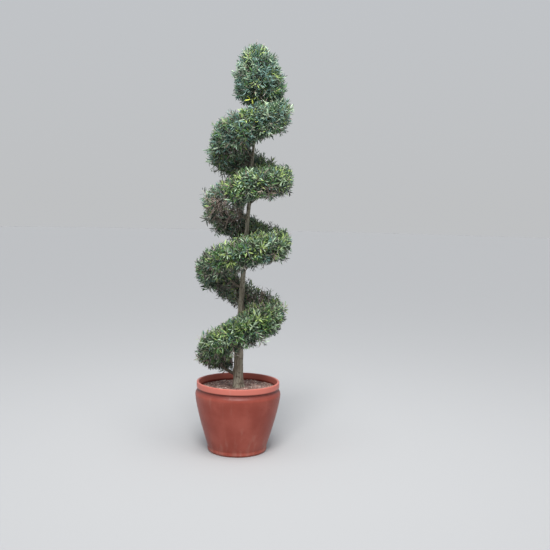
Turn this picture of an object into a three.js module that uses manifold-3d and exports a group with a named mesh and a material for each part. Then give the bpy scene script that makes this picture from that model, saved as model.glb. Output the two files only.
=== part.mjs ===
// Olive tree clipped to a rising spiral, in a round terracotta-coloured pot.
// Millimetres, +Z up. The origin is the middle of the pot's flat underside, and -Y is the front.
// The crown is one band of foliage that climbs round a leaning trunk and ends in an egg at the top.
// Each stretch of the band is a mass of its own, on a bough of its own.

import * as THREE from "three";
import { mergeVertices } from "three/addons/utils/BufferGeometryUtils.js";
import Module from "manifold-3d";

const wasm = await Module();
wasm.setup();

// Clearance between pieces that touch in the real plant
const SEAT = 0.3;

// Pot
const POT_HEIGHT = 427;
const RIM_RADIUS = 252;
const RIM_BAND = 35;
const RIM_WIDTH = 11;
const RIM_ROUND = 4;
const NECK_RADIUS = 243;
const NECK_HEIGHT = 15;
const BELLY_RADIUS = 260;
const BELLY_HEIGHT = 350;
const BELLY_ROUND = { radius: 4, drop: 25 };
const FOOT_RADIUS = 176;
const FOOT_EDGE = 4;
const FOOT_BEAD = { stand: 5, middle: 16, top: 27 };
const WALL = 6;
const FLOOR = 9;
const FLOOR_ROUND = 8;
const POT_SIDES = 32;

// The wall's slant eases as it climbs: height, and share of the way from the foot's radius to the belly's
const WALL_LOW = [0.4, 125];
const WALL_MIDDLE = [0.72, 225];
const WALL_HIGH = [0.95, 315];

// Soil
const SOIL_BELOW_RIM = 37;
const SOIL_DIP = 8;

// Trunk
const TRUNK_SIDES = 12;
const TRUNK_TIP = 2362;
const LEAN = 80;
const LEAN_FROM = 520;
const LEAN_TO = 2300;
const SWAY = 6;
const SWAY_LENGTH = 1500;
const ROOT_FLARE = 10;
const ROOT_LOBES = 0.06;
const ROOT_COUNT = 3;
const FLARE_HEIGHT = 34;
const FLARE_STEPS = [10, 28, 60];
const TRUNK_STEP = 112;
const TRUNK_GIRTH = [
  { height: 390, radius: 30 },
  { height: 590, radius: 27.5 },
  { height: 850, radius: 17.5 },
  { height: 1080, radius: 15 },
  { height: 1350, radius: 12.5 },
  { height: 1800, radius: 8.5 },
  { height: TRUNK_TIP, radius: 4 },
];

// Band of foliage: turns are counted from +X, anticlockwise seen from above
const BAND = [
  { turn: 0.35, height: 553, reach: 248, half: 91 },
  { turn: 0.5, height: 603, reach: 258, half: 103 },
  { turn: 0.75, height: 723, reach: 262, half: 122 },
  { turn: 1.0, height: 835, reach: 270, half: 106 },
  { turn: 1.25, height: 966, reach: 278, half: 100 },
  { turn: 1.5, height: 1113, reach: 300, half: 105 },
  { turn: 1.75, height: 1190, reach: 292, half: 108 },
  { turn: 2.0, height: 1262, reach: 281, half: 96 },
  { turn: 2.25, height: 1363, reach: 280, half: 105 },
  { turn: 2.5, height: 1494, reach: 282, half: 122 },
  { turn: 2.75, height: 1584, reach: 267, half: 100 },
  { turn: 3.0, height: 1643, reach: 254, half: 95 },
  { turn: 3.25, height: 1746, reach: 264, half: 118 },
  { turn: 3.5, height: 1843, reach: 274, half: 133 },
  { turn: 3.75, height: 1941, reach: 246, half: 130 },
  { turn: 4.0, height: 2037, reach: 212, half: 106 },
  { turn: 4.33, height: 2142, reach: 190, half: 86 },
];
const FRONT_LIFT = 28;
const BAND_MASSES = 15;
const BAND_CLEAR_OF_TRUNK = 7;
const SECTION_POWER = 2.5;
const END_ROUNDING = 0.12;
const END_SIZE = 0.4;
const MASS_GAP = 1.2;

// Egg of foliage round the trunk's tip
const EGG = { bottom: 2124, tilt: 51, tiltTowards: 0.22, widest: 2184, top: 2460, reach: 158 };
const EGG_OFFSET = { foot: 33, top: -11 };
const EGG_UPPER = { ease: 2, power: 0.54 };
const EGG_LOWER = { ease: 2.6, loss: 0.6 };
const EGG_CROWN = 12;
const EGG_STATIONS = 8;
const EGG_SIDES = 12;
const EGG_STEM = 16;
const EGG_CLEAR_OF_TRUNK = 3;
const EGG_LUMP = 5;
const EGG_SEED = 977;

// Foliage
const CORE_INSET = 33;
const CORE_LUMP = 0.06;
const CORE_LUMP_RATE = 19;
const CORE_LEAST = 12;
const CORE_END_GAP = 0.0035;
const CORE_STATIONS = 5;
const CORE_SIDES = 11;
const TWIGS_PER_MASS = 8;
const TWIGS_ON_EGG = 13;
const GOLDEN_RATIO = (1 + Math.sqrt(5)) / 2;
const LEAVES_PER_TWIG = 4;
const TWIG_SPREAD = 2.3;
const TWIG_BASE = 4.2;
const TWIG_END = 2.4;
const TWIG_PAST_CORE = 8;
const LEAF = { length: 78, width: 22, thick: 3, sunk: 2.5, first: 4, step: 7 };
const LEAF_SPLAY = { least: 0.95, spread: 0.35, more: 0.05 };
const LEAF_SIZE = { least: 0.86, spread: 0.18, less: 0.03 };
const LEAF_RING_SPREAD = 0.16;
const LEAF_TILT = 0.3;
const LEAF_TRIES = 8;
const MASS_SEED = 105;

// Boughs
const BOUGH_ROOT = 8;
const BOUGH_END = 5;
const BOUGH_REACH = 52;
const BOUGH_RISE = 0.7;
const BOUGH_SIDES = 6;
const BOUGH_STATIONS = 3;
const BOUGH_ON_TRUNK = 14;
const BOUGH_BEND = { reach: 0.62, drop: 0.38 };
const BOUGH_ENTRY = 0.93;
const LIMB_CLEAR = 3;
const STEM_ROOT = 4.6;
const STEM_END = 3.4;
const STEM_STRAIGHT = 14;

const soilTop = POT_HEIGHT - SOIL_BELOW_RIM;
const trunkFoot = soilTop + SEAT;
const { seededRandom, lerp, smoothstep } = THREE.MathUtils;

const plastic = new THREE.MeshStandardMaterial({ color: 0x8f4b3a, roughness: 0.55 });
const earth = new THREE.MeshStandardMaterial({ color: 0x4b3a2e, roughness: 0.95 });
const bark = new THREE.MeshStandardMaterial({ color: 0x8a8272, roughness: 0.9 });
const foliage = new THREE.MeshStandardMaterial({ color: 0x5e7350, roughness: 0.6 });

const tree = new THREE.Group();

function place(name, geometry, material) {
  const mesh = new THREE.Mesh(geometry, material);
  mesh.name = name;
  tree.add(mesh);
}

// Value of one key at a station between the two listed ones round it
function between(stations, along, at, key) {
  const last = stations.length - 1;
  if (at <= stations[0][along]) return stations[0][key];
  if (at >= stations[last][along]) return stations[last][key];
  const next = stations.findIndex((station) => station[along] > at);
  const [low, high] = [stations[next - 1], stations[next]];
  return lerp(low[key], high[key], (at - low[along]) / (high[along] - low[along]));
}

// Closed solid over rings of points that turn right-handed along the way, with flat ends
function loft(rings) {
  const count = rings[0].length;
  const points = rings.flat();
  const top = points.length - count;
  const index = [];
  for (let i = 0; i < count; i++) {
    const j = (i + 1) % count;
    for (let k = 0; k < rings.length - 1; k++) {
      const low = k * count;
      const high = low + count;
      index.push(low + i, low + j, high + j, low + i, high + j, high + i);
    }
    if (i > 0 && i < count - 1) index.push(0, j, i, top, top + i, top + j);
  }
  const geometry = new THREE.BufferGeometry().setFromPoints(points);
  geometry.setIndex(index);
  return geometry;
}

// Boolean solid from a closed geometry, and back
function solid(geometry) {
  const bare = geometry.clone();
  bare.deleteAttribute("normal");
  bare.deleteAttribute("uv");
  const merged = mergeVertices(bare, 1e-4);
  const mesh = new wasm.Mesh({
    numProp: 3,
    vertProperties: new Float32Array(merged.attributes.position.array),
    triVerts: new Uint32Array(merged.index.array),
  });
  return new wasm.Manifold(mesh);
}

function shape(body) {
  const mesh = body.getMesh();
  const geometry = new THREE.BufferGeometry();
  geometry.setAttribute("position", new THREE.BufferAttribute(mesh.vertProperties, 3));
  geometry.setIndex(new THREE.BufferAttribute(mesh.triVerts, 1));
  return geometry;
}

// Keeps only the largest shell, so no loose scrap or sealed hollow is left
function largestShell(geometry) {
  const index = geometry.index.array;
  const parent = Array.from({ length: geometry.attributes.position.count }, (_, i) => i);
  const root = (i) => {
    while (parent[i] !== i) {
      parent[i] = parent[parent[i]];
      i = parent[i];
    }
    return i;
  };
  for (let t = 0; t < index.length; t += 3) {
    parent[root(index[t])] = root(index[t + 1]);
    parent[root(index[t + 1])] = root(index[t + 2]);
  }
  const size = new Map();
  for (let t = 0; t < index.length; t += 3) {
    const shell = root(index[t]);
    size.set(shell, (size.get(shell) ?? 0) + 1);
  }
  const largest = [...size].sort((a, b) => b[1] - a[1])[0][0];
  const kept = [];
  for (let t = 0; t < index.length; t += 3) {
    if (root(index[t]) === largest) kept.push(index[t], index[t + 1], index[t + 2]);
  }
  geometry.setIndex(kept);
  return mergeVertices(geometry.toNonIndexed(), 1e-5);
}

// Point of the pot's wall, drawn in from its outside
function wallPoint([share, height], drawnIn = 0) {
  return [lerp(FOOT_RADIUS, BELLY_RADIUS, share) - drawnIn, height];
}

// Inside of the pot from its floor to its neck, drawn in by a slack
function potInside(slack) {
  return [
    [FOOT_RADIUS - WALL - FLOOR_ROUND - slack, FLOOR + slack],
    [FOOT_RADIUS - WALL - slack, FLOOR + FLOOR_ROUND + slack],
    wallPoint(WALL_LOW, WALL + slack),
    wallPoint(WALL_HIGH, WALL + slack),
    [NECK_RADIUS - WALL - slack, POT_HEIGHT - RIM_BAND - NECK_HEIGHT],
  ];
}

// Pot: one turned wall with a belly, a drawn-in neck and a rounded rim band, and a flat floor
function potProfile() {
  const bandFoot = POT_HEIGHT - RIM_BAND;
  return [
    [0, 0],
    [FOOT_RADIUS - FOOT_EDGE, 0],
    [FOOT_RADIUS, FOOT_EDGE],
    [FOOT_RADIUS + FOOT_BEAD.stand, FOOT_BEAD.middle],
    [FOOT_RADIUS + 1, FOOT_BEAD.top],
    wallPoint(WALL_LOW),
    wallPoint(WALL_MIDDLE),
    wallPoint(WALL_HIGH),
    [BELLY_RADIUS, BELLY_HEIGHT],
    [BELLY_RADIUS - BELLY_ROUND.radius, bandFoot - BELLY_ROUND.drop],
    [NECK_RADIUS, bandFoot - NECK_HEIGHT],
    [NECK_RADIUS, bandFoot],
    [RIM_RADIUS - RIM_ROUND / 2, bandFoot],
    [RIM_RADIUS, bandFoot + RIM_ROUND],
    [RIM_RADIUS, POT_HEIGHT - RIM_ROUND],
    [RIM_RADIUS - RIM_ROUND, POT_HEIGHT],
    [RIM_RADIUS - RIM_WIDTH, POT_HEIGHT],
    [NECK_RADIUS - WALL, POT_HEIGHT - RIM_ROUND],
    ...potInside(0).reverse(),
    [0, FLOOR],
  ];
}

// Soil: fills the pot to below the rim, a little lower along the wall, flat where the trunk stands
function soilProfile() {
  return [
    [0, FLOOR + SEAT],
    ...potInside(SEAT),
    [NECK_RADIUS - WALL - SEAT, soilTop - SOIL_DIP],
    [NECK_RADIUS * 0.6, soilTop - SOIL_DIP * 0.25],
    [TRUNK_GIRTH[0].radius * 2, soilTop],
    [0, soilTop],
  ];
}

// A turned shape that stands on +Z
function turned(profile) {
  const points = profile.map(([radius, height]) => new THREE.Vector2(radius, height));
  return new THREE.LatheGeometry(points, POT_SIDES).rotateX(Math.PI / 2);
}

// Trunk: middle line, girth and skin
function trunkMiddle(height) {
  const x = LEAN * smoothstep(height, LEAN_FROM, LEAN_TO);
  const y = SWAY * Math.sin(((height - trunkFoot) / SWAY_LENGTH) * 2 * Math.PI);
  return new THREE.Vector3(x, y, height);
}

function trunkRadius(height) {
  const flare = ROOT_FLARE * Math.exp(-(height - trunkFoot) / FLARE_HEIGHT);
  return between(TRUNK_GIRTH, "height", height, "radius") + flare;
}

// Point at a turn, a distance from the trunk's middle line and a height
function roundTrunk(turn, distance, height) {
  const middle = trunkMiddle(height);
  const angle = turn * 2 * Math.PI;
  middle.x += distance * Math.cos(angle);
  middle.y += distance * Math.sin(angle);
  return middle;
}

function trunkSkin(extra, foot, tip) {
  const steps = FLARE_STEPS.map((step) => trunkFoot + step);
  for (let z = steps.at(-1) + TRUNK_STEP; z < TRUNK_TIP - TRUNK_STEP / 2; z += TRUNK_STEP) steps.push(z);
  const heights = [foot, ...steps.filter((z) => z > foot), TRUNK_TIP];
  if (tip > TRUNK_TIP) heights.push(tip);
  const rings = heights.map((height) => {
    const radius = trunkRadius(height) + extra;
    const lobe = ROOT_LOBES * Math.exp(-(height - trunkFoot) / FLARE_HEIGHT);
    return Array.from({ length: TRUNK_SIDES }, (_, i) => {
      const turn = i / TRUNK_SIDES;
      const root = 1 + lobe * Math.cos(ROOT_COUNT * turn * 2 * Math.PI);
      return roundTrunk(turn, radius * root, height);
    });
  });
  return loft(rings);
}

// Band: its middle height, reach and half thickness at a turn, drawn in towards its two ends
function bandAt(turn) {
  const first = BAND[0].turn;
  const last = BAND[BAND.length - 1].turn;
  const fromEnd = Math.min(turn - first, last - turn) / END_ROUNDING;
  const bare = 1 - Math.min(Math.max(fromEnd, 0), 1);
  const fullness = END_SIZE + (1 - END_SIZE) * Math.sqrt(1 - bare * bare);
  const lift = -FRONT_LIFT * Math.sin(turn * 2 * Math.PI);
  const height = between(BAND, "turn", turn, "height") + lift;
  const reach = between(BAND, "turn", turn, "reach");
  const inner = trunkRadius(height) + BAND_CLEAR_OF_TRUNK;
  const wide = ((reach - inner) / 2) * fullness;
  const half = between(BAND, "turn", turn, "half") * fullness;
  return { height, half, wide, inner, middle: inner + wide };
}

function bandMiddle(turn) {
  const band = bandAt(turn);
  return roundTrunk(turn, band.middle, band.height);
}

function signedPower(value, power) {
  return Math.sign(value) * Math.abs(value) ** power;
}

// Point on the band's skin, or on one drawn in from it on all sides but the trunk's
function bandSkin(turn, around, inset, lump = 1) {
  const band = bandAt(turn);
  const wide = Math.max((band.wide - inset / 2) * lump, CORE_LEAST);
  const half = Math.max((band.half - inset) * lump, CORE_LEAST);
  const across = signedPower(Math.cos(around), 2 / SECTION_POWER);
  const up = signedPower(Math.sin(around), 2 / SECTION_POWER);
  return roundTrunk(turn, band.inner + wide * (1 + across), band.height + half * up);
}

// Spaces: a point keeps this far inside its own stretch of the band
function inBand(point, from, to) {
  const middle = trunkMiddle(point.z);
  const [dx, dy] = [point.x - middle.x, point.y - middle.y];
  const distance = Math.hypot(dx, dy);
  const centre = (from + to) / 2;
  let turn = Math.atan2(dy, dx) / (2 * Math.PI);
  turn += Math.round(centre - turn);
  const side = Math.min(turn - from, to - turn) * 2 * Math.PI;
  if (side <= 0 || distance * Math.sin(Math.min(side, Math.PI / 2)) < MASS_GAP) return false;
  if (distance < trunkRadius(point.z) + BAND_CLEAR_OF_TRUNK - 2) return false;
  const band = bandAt(turn);
  const across = Math.abs((distance - band.middle) / band.wide);
  const up = Math.abs((point.z - band.height) / band.half);
  const lowest = eggBottom(turn) - 2 * MASS_GAP;
  return across ** SECTION_POWER + up ** SECTION_POWER < 1 && point.z < lowest;
}

// The egg's underside is slanted, highest over the end of the band
function eggBottom(turn) {
  return EGG.bottom + EGG.tilt * Math.cos((turn - EGG.tiltTowards) * 2 * Math.PI);
}

function eggRadius(height) {
  if (height > EGG.widest) {
    const up = Math.min((height - EGG.widest) / (EGG.top - EGG.widest), 1);
    return EGG.reach * (1 - up ** EGG_UPPER.ease) ** EGG_UPPER.power;
  }
  const down = Math.min((EGG.widest - height) / (EGG.widest - EGG.bottom + EGG.tilt), 1);
  return EGG.reach * (1 - EGG_LOWER.loss * down ** EGG_LOWER.ease);
}

// The egg leans against the trunk's slope: its middle stands this far along X from the trunk's
function eggOffset(height) {
  return lerp(EGG_OFFSET.foot, EGG_OFFSET.top, (height - EGG.bottom) / (EGG.top - EGG.bottom));
}

function inEgg(point) {
  const middle = trunkMiddle(point.z);
  const [dx, dy] = [point.x - middle.x, point.y - middle.y];
  const distance = Math.hypot(dx, dy);
  const centred = Math.hypot(dx - eggOffset(point.z), dy);
  const turn = Math.atan2(dy, dx) / (2 * Math.PI);
  if (point.z < eggBottom(turn) || point.z > EGG.top) return false;
  const besideTrunk = point.z < TRUNK_TIP + EGG_STEM / 2;
  if (besideTrunk && distance < trunkRadius(point.z) + EGG_CLEAR_OF_TRUNK) return false;
  return centred < eggRadius(point.z);
}

// True where a point keeps clear of every bough
function clearOfLimbs(point, limbs) {
  const nearest = new THREE.Vector3();
  return limbs.every(({ line, girth }) => {
    line.closestPointToPoint(point, true, nearest);
    return nearest.distanceTo(point) > BOUGH_ROOT * girth + LIMB_CLEAR;
  });
}

// Twig or stem: a three-sided tapering rod
function rod(from, to, thick, thin) {
  const heading = to.clone().sub(from).normalize();
  return loft([ringRound(from, heading, thick, 3), ringRound(to, heading, thin, 3)]);
}

// Leaf: pointed at both ends, widest in the middle, flat below and ridged along its midrib
function leafFrame(base, along, flat) {
  const x = along.clone().normalize();
  const y = new THREE.Vector3().crossVectors(flat, x).normalize();
  const z = new THREE.Vector3().crossVectors(x, y);
  const root = base.clone().addScaledVector(x, -LEAF.sunk);
  return { x, y, z, root };
}

function leafPoints({ x, y, z, root }, length) {
  const middle = root.clone().addScaledVector(x, length / 2);
  const side = (s) => middle.clone().addScaledVector(y, (s * LEAF.width) / 2);
  const ridge = middle.clone().addScaledVector(z, LEAF.thick);
  const tip = root.clone().addScaledVector(x, length);
  return [root, side(1), side(-1), ridge, tip];
}

function leafSolid(points) {
  const geometry = new THREE.BufferGeometry().setFromPoints(points);
  geometry.setIndex([0, 3, 1, 0, 2, 3, 0, 1, 2, 4, 1, 3, 4, 3, 2, 4, 2, 1]);
  return geometry;
}

// A direction turned away from an axis by an angle, at a bearing round it
function splayed(axis, angle, bearing) {
  const helper = Math.abs(axis.z) > 0.8 ? new THREE.Vector3(1, 0, 0) : new THREE.Vector3(0, 0, 1);
  const side = new THREE.Vector3().crossVectors(axis, helper).normalize();
  const other = new THREE.Vector3().crossVectors(axis, side);
  const out = axis.clone().multiplyScalar(Math.cos(angle));
  out.addScaledVector(side, Math.sin(angle) * Math.cos(bearing));
  return out.addScaledVector(other, Math.sin(angle) * Math.sin(bearing));
}

// Ring of points square to a heading, right-handed round it
function ringRound(centre, heading, radius, sides) {
  return Array.from({ length: sides }, (_, i) => {
    const spoke = splayed(heading, Math.PI / 2, (i / sides) * 2 * Math.PI);
    return centre.clone().addScaledVector(spoke, radius);
  });
}

// True where a new piece crosses none of the pieces that already stand out of the core
function hasRoom(piece, others) {
  return others.every((other) => {
    if (piece.centre.distanceTo(other.centre) > (piece.long + other.long) / 2) return true;
    return piece.body.intersect(other.body).isEmpty();
  });
}

function standing(geometry, centre, long) {
  return { body: solid(geometry), centre, long };
}

// Shoot: a twig out of the core with leaves up its end, each kept only if its space has room
function shoot(from, to, fits, standingOut) {
  if (!fits(to)) return;
  const along = to.clone().sub(from).normalize();
  const twigMiddle = from.clone().add(to).multiplyScalar(0.5);
  const twig = standing(rod(from, to, TWIG_BASE, TWIG_END), twigMiddle, from.distanceTo(to));
  if (!hasRoom(twig, standingOut)) return;
  const others = [...standingOut];
  standingOut.push(twig);
  const bearing = seededRandom();
  for (let k = 0; k < LEAVES_PER_TWIG; k++) {
    const base = to.clone().addScaledVector(along, -LEAF.first - LEAF.step * k);
    for (let tried = 0; tried < LEAF_TRIES; tried++) {
      const turn = bearing + k / LEAVES_PER_TWIG + LEAF_RING_SPREAD * seededRandom();
      const splay = LEAF_SPLAY.least + LEAF_SPLAY.spread * seededRandom() + LEAF_SPLAY.more * tried;
      const size = LEAF_SIZE.least + LEAF_SIZE.spread * seededRandom() - LEAF_SIZE.less * tried;
      const length = LEAF.length * size;
      const heading = splayed(along, splay, turn * 2 * Math.PI);
      const flat = splayed(along, LEAF_TILT * seededRandom(), 2 * Math.PI * seededRandom());
      const frame = leafFrame(base, heading, flat);
      const points = leafPoints(frame, length);
      const [root, ...outer] = points;
      const tip = outer[3];
      if (![...outer, root.clone().lerp(tip, 0.75)].every(fits)) continue;
      const leaf = standing(leafSolid(points), root.clone().lerp(tip, 0.5), length);
      if (!hasRoom(leaf, others)) continue;
      others.push(leaf);
      standingOut.push(leaf);
      break;
    }
  }
}

function fuse(bodies) {
  return bodies.reduce((whole, body) => whole.add(body));
}

// Band core: lumpy, smaller than the space, between the two faces of its stretch
function bandCore(from, to, seed) {
  const rings = [];
  for (let k = 0; k < CORE_STATIONS; k++) {
    const turn = lerp(from + CORE_END_GAP, to - CORE_END_GAP, k / (CORE_STATIONS - 1));
    const ring = Array.from({ length: CORE_SIDES }, (_, i) => {
      const around = (i / CORE_SIDES) * 2 * Math.PI;
      const wave = Math.sin(CORE_LUMP_RATE * turn + seed) * Math.cos(2 * (around + seed));
      return bandSkin(turn, around, CORE_INSET, 1 + CORE_LUMP * wave);
    });
    rings.push(ring.reverse());
  }
  return loft(rings);
}

// Bough's course: leaves the trunk below its mass, bends outwards and ends where it enters the mass
function limbFor(from, to) {
  const centre = (from + to) / 2;
  const band = bandAt(centre);
  const lowest = band.height - band.half * BOUGH_ENTRY;
  const trunkSide = trunkRadius(lowest);
  const root = roundTrunk(centre, 0, lowest - BOUGH_REACH * BOUGH_RISE);
  const bend = roundTrunk(
    centre,
    trunkSide + BOUGH_REACH * BOUGH_BEND.reach,
    lowest - BOUGH_REACH * BOUGH_BEND.drop,
  );
  const end = roundTrunk(centre, trunkSide + BOUGH_REACH, lowest);
  return {
    path: new THREE.QuadraticBezierCurve3(root, bend, end),
    line: new THREE.Line3(root, end),
    end,
    heading: end.clone().sub(bend).normalize(),
    girth: Math.sqrt(trunkRadius(root.z) / BOUGH_ON_TRUNK),
  };
}

function bough(name, { path, girth }) {
  const rings = [];
  for (let k = 0; k < BOUGH_STATIONS; k++) {
    const along = k / (BOUGH_STATIONS - 1);
    const radius = lerp(BOUGH_ROOT, BOUGH_END, along) * girth;
    rings.push(ringRound(path.getPoint(along), path.getTangent(along), radius, BOUGH_SIDES));
  }
  const cut = solid(trunkSkin(SEAT, trunkFoot, TRUNK_TIP));
  place(name, largestShell(shape(solid(loft(rings)).subtract(cut))), bark);
}

// Stem of a mass: starts just clear of its bough's tip, runs on from it, then turns to the mass's middle
function stemOn({ end, heading, girth }, fork) {
  const foot = end.clone().addScaledVector(heading, SEAT);
  const knee = end.clone().addScaledVector(heading, STEM_STRAIGHT);
  return loft([
    ringRound(foot, heading, STEM_ROOT * girth, 3),
    ringRound(knee, heading, STEM_ROOT * girth, 3),
    ringRound(fork, heading, STEM_END * girth, 3),
  ]);
}

// Stretch of the band: a core on its stem, with shoots spread over it by the golden ratio
function bandMass(name, number, from, to, limbs) {
  seededRandom(number * MASS_SEED);
  const fits = (point) => inBand(point, from, to) && clearOfLimbs(point, limbs);
  const standingOut = [];
  for (let k = 0; k < TWIGS_PER_MASS; k++) {
    const turn = lerp(from, to, (k + 0.5) / TWIGS_PER_MASS);
    const spread = ((k + number) / GOLDEN_RATIO) % 1;
    const end = bandSkin(turn, (2 * spread - 1) * TWIG_SPREAD, CORE_INSET - TWIG_PAST_CORE);
    shoot(bandMiddle(turn), end, fits, standingOut);
  }
  const core = solid(bandCore(from, to, number));
  const stem = solid(stemOn(limbs[number], bandMiddle((from + to) / 2)));
  const bodies = [core, stem, ...standingOut.map((piece) => piece.body)];
  place(name, largestShell(shape(fuse(bodies))), foliage);
}

// Point on the egg's core, or past it: a share of the way up and a bearing in turns
function eggSkin(up, turn, past) {
  const low = eggBottom(turn);
  const height = lerp(low + CORE_INSET / 2, EGG.top - CORE_INSET, up);
  const shrink = 1 - CORE_INSET / EGG.reach;
  const radius = Math.max(eggRadius(lerp(low, EGG.top, up)) * shrink, EGG_CROWN) + past;
  const middle = trunkMiddle(height);
  middle.x += eggOffset(height) + radius * Math.cos(turn * 2 * Math.PI);
  middle.y += radius * Math.sin(turn * 2 * Math.PI);
  return middle;
}

// Egg core: lumpy, with a pocket from below for the trunk's tip
function eggCore() {
  const rings = [];
  for (let k = 0; k < EGG_STATIONS; k++) {
    rings.push(
      Array.from({ length: EGG_SIDES }, (_, i) => {
        const turn = i / EGG_SIDES;
        const wave = Math.sin(6 * Math.PI * turn + 5 * k) * Math.cos(4 * Math.PI * turn);
        return eggSkin(k / (EGG_STATIONS - 1), turn, EGG_LUMP * wave);
      }),
    );
  }
  const pocketFoot = EGG.bottom - 2 * EGG.tilt;
  const pocket = trunkSkin(EGG_CLEAR_OF_TRUNK, pocketFoot, TRUNK_TIP + EGG_STEM / 2);
  return solid(loft(rings)).subtract(solid(pocket));
}

// Egg: its core, and a stem that stands on the trunk's tip, with shoots all round
function eggMass(name, limbs) {
  seededRandom(EGG_SEED);
  const fits = (point) => inEgg(point) && clearOfLimbs(point, limbs);
  const standingOut = [];
  for (let k = 0; k < TWIGS_ON_EGG; k++) {
    const up = (k + 0.6) / TWIGS_ON_EGG;
    const end = eggSkin(up, (k / GOLDEN_RATIO) % 1, TWIG_PAST_CORE);
    const base = trunkMiddle(lerp(EGG.widest, EGG.top - 2 * CORE_INSET, up)).lerp(end, 0.5);
    shoot(base, end, fits, standingOut);
  }
  const foot = trunkMiddle(TRUNK_TIP + SEAT);
  const stem = solid(rod(foot, trunkMiddle(TRUNK_TIP + EGG_STEM), STEM_END, STEM_END));
  const bodies = [eggCore(), stem, ...standingOut.map((piece) => piece.body)];
  place(name, largestShell(shape(fuse(bodies))), foliage);
}

place("planter", turned(potProfile()), plastic);
place("soil", turned(soilProfile()), earth);
place("trunk", trunkSkin(0, trunkFoot, TRUNK_TIP), bark);

const bandStart = BAND[0].turn;
const bandEnd = BAND[BAND.length - 1].turn;
const cuts = Array.from({ length: BAND_MASSES + 1 }, (_, i) => lerp(bandStart, bandEnd, i / BAND_MASSES));
const limbs = cuts.slice(0, -1).map((from, i) => limbFor(from, cuts[i + 1]));
limbs.forEach((limb, i) => {
  const number = String(i + 1).padStart(2, "0");
  bough(`bough_${number}`, limb);
  bandMass(`foliage_${number}`, i, cuts[i], cuts[i + 1], limbs);
});
eggMass("foliage_top", limbs);

export default tree;
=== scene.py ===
# Olive tree clipped to a rising spiral, in a round terracotta-coloured pot.
# Metres, +Z up. The middle of the pot's flat underside is the origin, and -Y is the front.
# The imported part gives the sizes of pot, soil and trunk. Each mass of foliage grows by the part's own rule.

import functools
import math

import bpy
import numpy as np
from mathutils import Matrix, Vector


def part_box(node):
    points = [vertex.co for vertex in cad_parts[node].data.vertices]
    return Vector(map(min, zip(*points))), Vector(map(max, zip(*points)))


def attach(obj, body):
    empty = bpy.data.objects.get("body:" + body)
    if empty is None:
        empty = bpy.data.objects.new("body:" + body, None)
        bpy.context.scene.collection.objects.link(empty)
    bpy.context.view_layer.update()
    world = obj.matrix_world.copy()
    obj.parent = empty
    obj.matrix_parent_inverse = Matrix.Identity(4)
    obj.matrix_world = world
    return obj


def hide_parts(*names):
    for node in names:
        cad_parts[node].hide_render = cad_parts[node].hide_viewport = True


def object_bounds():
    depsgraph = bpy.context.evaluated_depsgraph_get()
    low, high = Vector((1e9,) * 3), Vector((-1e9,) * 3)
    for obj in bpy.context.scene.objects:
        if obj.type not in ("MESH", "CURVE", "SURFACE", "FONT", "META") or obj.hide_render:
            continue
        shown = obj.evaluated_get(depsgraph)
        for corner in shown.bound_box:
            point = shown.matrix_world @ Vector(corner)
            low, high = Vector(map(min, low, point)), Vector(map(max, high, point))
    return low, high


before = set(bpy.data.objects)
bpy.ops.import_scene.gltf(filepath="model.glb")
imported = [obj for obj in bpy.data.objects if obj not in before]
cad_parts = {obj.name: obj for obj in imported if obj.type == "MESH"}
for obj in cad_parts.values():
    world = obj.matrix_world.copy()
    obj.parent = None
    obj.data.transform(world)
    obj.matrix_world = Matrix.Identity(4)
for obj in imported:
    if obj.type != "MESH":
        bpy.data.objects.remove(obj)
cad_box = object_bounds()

# Pot
# A round pot moulded in terracotta-coloured plastic, dulled by weather: a bead round the foot, a wall that
# swells to a belly, and a neck drawn in under a rounded rim band. All of it is turned from one profile.
POT_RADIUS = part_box("planter")[1].x
POT_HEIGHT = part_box("planter")[1].z
RIM_RADIUS = 0.252
RIM_BAND = 0.035
RIM_LIP = 0.012
NECK_RADIUS = 0.243
NECK_DROP = 0.014
SHOULDER_DROP = 0.025
FOOT_RADIUS = 0.176
FOOT_BEAD = 0.005
FOOT_TOP = 0.027
WALL_FROM = 0.02
BELLY_HEIGHT = 0.35
WALL_EASE = 1.33
POT_WALL = 0.006
POT_FLOOR = 0.009
POT_POLE = 0.001
POT_COLUMNS = 200
TERRACOTTA = (0.24, 0.045, 0.029)
TERRACOTTA_FADED = (0.32, 0.075, 0.052)
# Painted shade for the neck under the rim, and the rim band painted paler as if lit from above
TERRACOTTA_PAINTED_SHADE = (0.15, 0.034, 0.026)
TERRACOTTA_RIM_PAINTED_LIGHT = (0.56, 0.165, 0.125)
POT_DUST = (0.46, 0.34, 0.27)


class Value:
    """One output socket of a node. Arithmetic on it adds a Math node, with a number or another Value."""

    def __init__(self, finish, socket):
        self.finish = finish
        self.socket = socket

    def __getitem__(self, output):
        """Another output of the same node, by its name or number."""
        return Value(self.finish, self.socket.node.outputs[output])

    def _with(self, operation, first, second):
        return self.finish.node("ShaderNodeMath", {"operation": operation}, {0: first, 1: second})

    def __add__(self, other):
        return self._with("ADD", self, other)

    __radd__ = __add__

    def __rsub__(self, other):
        return self._with("SUBTRACT", other, self)

    def __mul__(self, other):
        return self._with("MULTIPLY", self, other)

    __rmul__ = __mul__


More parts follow.
